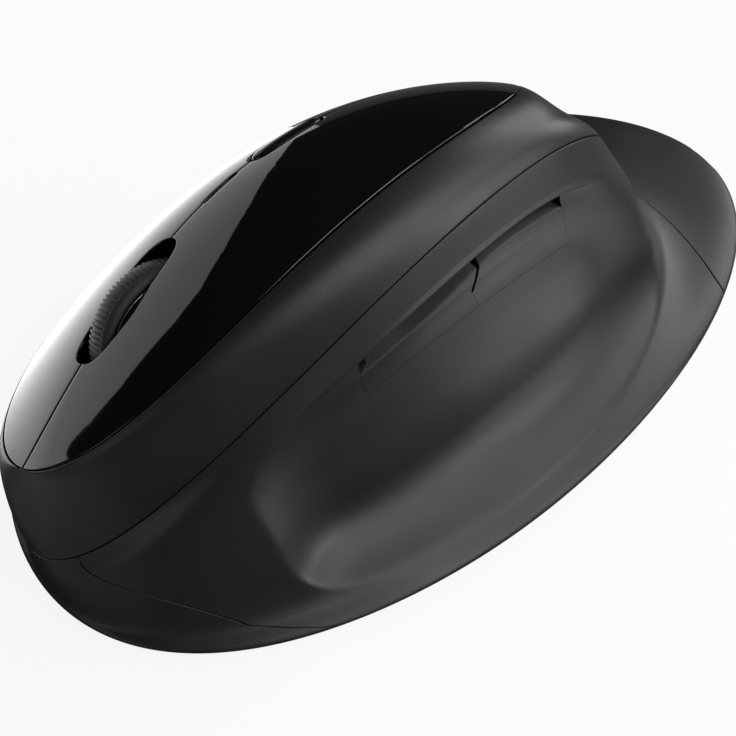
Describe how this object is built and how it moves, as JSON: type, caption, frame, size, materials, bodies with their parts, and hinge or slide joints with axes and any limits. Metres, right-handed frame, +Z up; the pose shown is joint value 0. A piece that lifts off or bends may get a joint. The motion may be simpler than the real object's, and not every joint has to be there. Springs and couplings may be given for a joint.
{
  "type": "vertical ergonomic mouse",
  "caption": "Right-handed ergonomic computer mouse with a tilted split glossy top, scroll wheel, thumb scoop with side keys and a flared foot.",
  "frame": {"origin": "centre of the bounding box in plan, on the desk under the glide feet", "axes": "+Y to the front of the mouse, +X to the palm side, +Z up, thumb side at -X"},
  "size_m": [0.0789, 0.1271, 0.0577],
  "materials": {
    "shell_plastic": "fine matte grain",
    "thumb_plastic": "fine matte grain, soft touch",
    "gloss_black": "piano gloss",
    "lens_clear": "frosted clear",
    "wheel_rubber": "ribbed rubber",
    "wheel_plastic": "satin",
    "bright_metal": "bright plated",
    "board_green": "solder mask",
    "switch_black": "moulded",
    "frame_plastic": "moulded",
    "slider_plastic": "satin",
    "cell_jacket": "printed jacket left plain",
    "glide_plastic": "low friction, slick",
    "screw_steel": "zinc plated"
  },
  "bodies": {
    "housing": {"base_plate": "shell_plastic", "lower_shell": "shell_plastic", "thumb_panel": "thumb_plastic", "top_frame": "thumb_plastic", "indicator_lens": "lens_clear", "board_frame": "frame_plastic", "button_board": "board_green", "left_switch": "switch_black", "right_switch": "switch_black", "middle_switch": "switch_black", "dpi_bracket": "frame_plastic", "dpi_board": "board_green", "dpi_switch": "switch_black", "side_bracket": "frame_plastic", "side_board": "board_green", "forward_switch": "switch_black", "back_switch": "switch_black", "main_board": "board_green", "optical_sensor": "switch_black", "sensor_lens": "lens_clear", "power_switch": "switch_black", "battery": "cell_jacket", "battery_contacts": "bright_metal", "glide_feet": "glide_plastic", "case_screws": "screw_steel", "board_screws": "screw_steel"},
    "left_key": {"left_button": "gloss_black"},
    "right_key": {"right_button": "gloss_black"},
    "forward_key": {"forward_button": "thumb_plastic"},
    "back_key": {"back_button": "thumb_plastic"},
    "resolution_key": {"dpi_button": "gloss_black"},
    "carrier": {"wheel_carrier": "wheel_plastic", "wheel_encoder": "switch_black"},
    "wheel": {"wheel_tyre": "wheel_rubber", "wheel_hub": "wheel_plastic", "wheel_trim": "bright_metal", "wheel_axle": "bright_metal"},
    "slider": {"power_slider": "slider_plastic"},
    "door": {"battery_door": "shell_plastic"}
  },
  "joints": [
    {"name": "left_key_press", "type": "hinge", "parent": "housing", "child": "left_key", "pos_m": [0.00193, -0.00369, 0.05214], "axis": [-0.8729, 0.0879, 0.4799], "range_deg": [0, 0.5], "stiffness_Nm_per_rad": 3.2},
    {"name": "right_key_press", "type": "hinge", "parent": "housing", "child": "right_key", "pos_m": [0.00193, -0.00369, 0.05214], "axis": [-0.8729, 0.0879, 0.4799], "range_deg": [0, 0.5], "stiffness_Nm_per_rad": 3.2},
    {"name": "forward_key_press", "type": "hinge", "parent": "housing", "child": "forward_key", "pos_m": [-0.02312, 0.01073, 0.03247], "axis": [-0.0051, 0.9739, -0.2268], "range_deg": [0, 3.5], "stiffness_Nm_per_rad": 0.056},
    {"name": "back_key_press", "type": "hinge", "parent": "housing", "child": "back_key", "pos_m": [-0.02227, -0.00832, 0.03464], "axis": [-0.0895, 0.9958, 0.0203], "range_deg": [0, 3.5], "stiffness_Nm_per_rad": 0.056},
    {"name": "resolution_key_press", "type": "slide", "parent": "housing", "child": "resolution_key", "axis": [-0.6009, -0.093, -0.7939], "range_m": [0, 0.0004], "stiffness_N_per_m": 1500},
    {"name": "wheel_press", "type": "slide", "parent": "housing", "child": "carrier", "axis": [-0.4541, -0.506, -0.7333], "range_m": [0, 0.0005], "stiffness_N_per_m": 2000},
    {"name": "wheel_spin", "type": "hinge", "parent": "carrier", "child": "wheel", "pos_m": [-0.00211, 0.03689, 0.03329], "axis": [0.8729, -0.0879, -0.4799], "continuous": true},
    {"name": "power_slide", "type": "slide", "parent": "housing", "child": "slider", "axis": [0, 1, 0], "range_m": [0, 0.0025]},
    {"name": "door_swing", "type": "hinge", "parent": "housing", "child": "door", "pos_m": [0.01267, -0.01576, 0.0017], "axis": [-1, 0, 0], "range_deg": [0, 75]}
  ]
}
